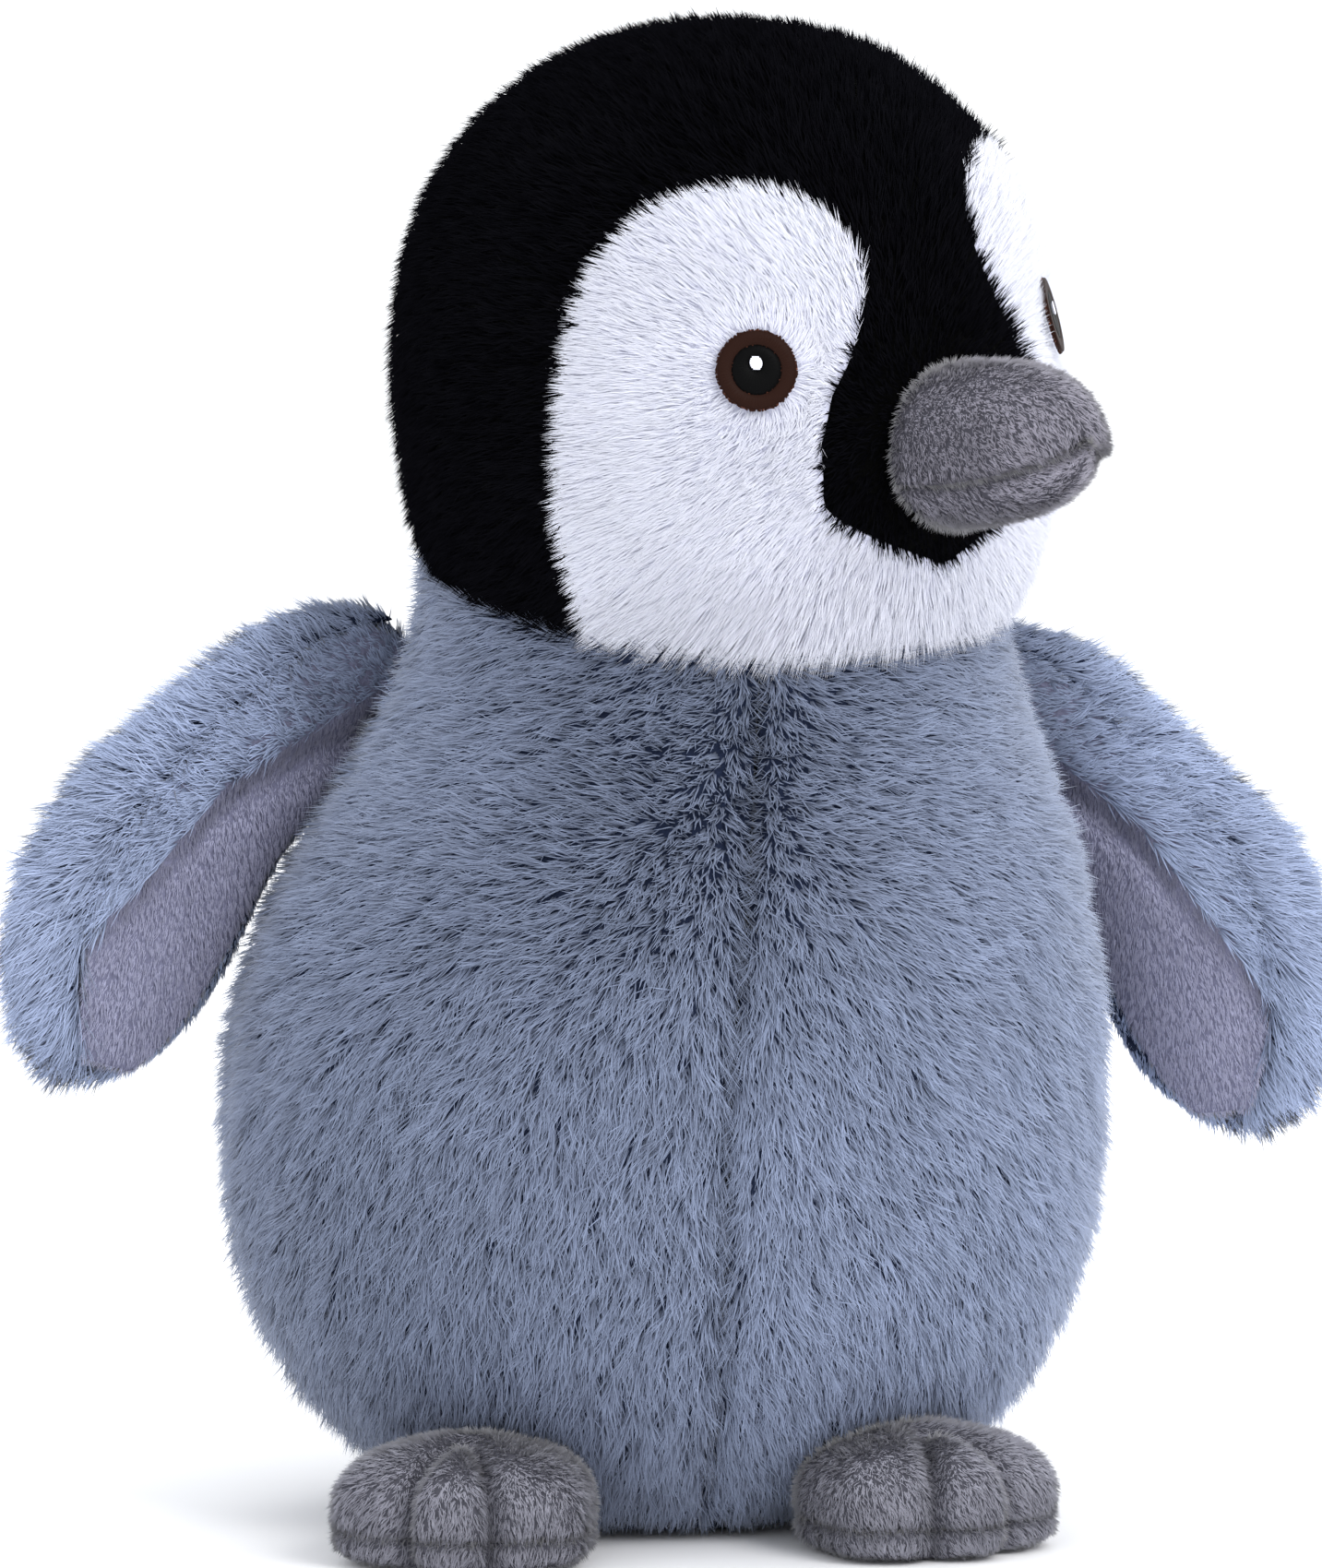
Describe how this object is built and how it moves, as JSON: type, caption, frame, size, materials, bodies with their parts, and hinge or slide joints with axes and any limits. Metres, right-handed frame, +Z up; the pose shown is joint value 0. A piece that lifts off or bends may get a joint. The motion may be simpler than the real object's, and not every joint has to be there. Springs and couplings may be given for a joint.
{
  "type": "plush penguin",
  "caption": "Standing stuffed penguin chick with a turned round head, long-pile body, velour-lined wings, small feet and embroidered eyes.",
  "frame": {"origin": "on the floor under the middle of the flat base", "axes": "+Z up, -Y the way the body faces, +X the penguin's left"},
  "size_m": [0.2662, 0.1731, 0.2942],
  "materials": {
    "grey_plush": "long-pile blue-grey plush, brushed outwards and down",
    "black_plush": "medium-pile black plush",
    "white_plush": "medium-pile white plush",
    "mauve_velour": "short-pile grey-mauve velour",
    "grey_velour": "short-pile dark grey velour",
    "brown_thread": "satin-stitched thread",
    "black_thread": "satin-stitched thread",
    "white_thread": "satin-stitched thread",
    "fibre_fill": "loose polyester fibre, hidden",
    "bean_cloth": "plain woven pouch of beads, hidden",
    "label_tape": "blank woven tape"
  },
  "bodies": {
    "torso": {"belly_left": "grey_plush", "belly_right": "grey_plush", "back_left": "grey_plush", "back_right": "grey_plush", "base_panel": "grey_plush", "torso_stuffing": "fibre_fill", "bean_pouch": "bean_cloth", "care_label": "label_tape"},
    "neck": {"neck_stuffing": "fibre_fill"},
    "head": {"hood_left": "black_plush", "hood_right": "black_plush", "face_patch_left": "white_plush", "face_patch_right": "white_plush", "head_stuffing": "fibre_fill", "beak_upper": "grey_velour", "beak_lower": "grey_velour", "beak_stuffing": "fibre_fill", "iris_left": "brown_thread", "iris_right": "brown_thread", "pupil_left": "black_thread", "pupil_right": "black_thread", "glint_left": "white_thread", "glint_right": "white_thread"},
    "wing_left": {"wing_left_outer": "grey_plush", "wing_left_inner": "mauve_velour", "wing_left_stuffing": "fibre_fill"},
    "wing_right": {"wing_right_outer": "grey_plush", "wing_right_inner": "mauve_velour", "wing_right_stuffing": "fibre_fill"},
    "foot_left": {"foot_left_top": "grey_velour", "foot_left_sole": "grey_velour", "foot_left_stuffing": "fibre_fill"},
    "foot_right": {"foot_right_top": "grey_velour", "foot_right_sole": "grey_velour", "foot_right_stuffing": "fibre_fill"}
  },
  "joints": [
    {"name": "neck_turn", "type": "hinge", "parent": "torso", "child": "neck", "pos_m": [0.0115, -0.009, 0.221], "axis": [0, 0, 1], "range_deg": [-40, 20], "stiffness_Nm_per_rad": 0.6},
    {"name": "head_nod", "type": "hinge", "parent": "neck", "child": "head", "pos_m": [0.0115, -0.009, 0.221], "axis": [0.8616, 0.5075, 0], "range_deg": [-10, 8], "stiffness_Nm_per_rad": 2},
    {"name": "wing_left_lift", "type": "hinge", "parent": "torso", "child": "wing_left", "pos_m": [0.085, 0.02, 0.157], "axis": [-0.4226, -0.9063, 0], "range_deg": [-5, 45], "stiffness_Nm_per_rad": 0.25},
    {"name": "wing_right_lift", "type": "hinge", "parent": "torso", "child": "wing_right", "pos_m": [-0.07, 0.016, 0.164], "axis": [-0.4226, 0.9063, 0], "range_deg": [-3, 45], "stiffness_Nm_per_rad": 0.25},
    {"name": "foot_left_tip", "type": "hinge", "parent": "torso", "child": "foot_left", "pos_m": [0.0365, -0.045, 0.02], "axis": [-0.9272, -0.3746, 0], "range_deg": [-3, 15], "stiffness_Nm_per_rad": 0.3},
    {"name": "foot_right_tip", "type": "hinge", "parent": "torso", "child": "foot_right", "pos_m": [-0.0435, -0.045, 0.02], "axis": [-0.9272, 0.3746, 0], "range_deg": [-3, 15], "stiffness_Nm_per_rad": 0.3}
  ]
}
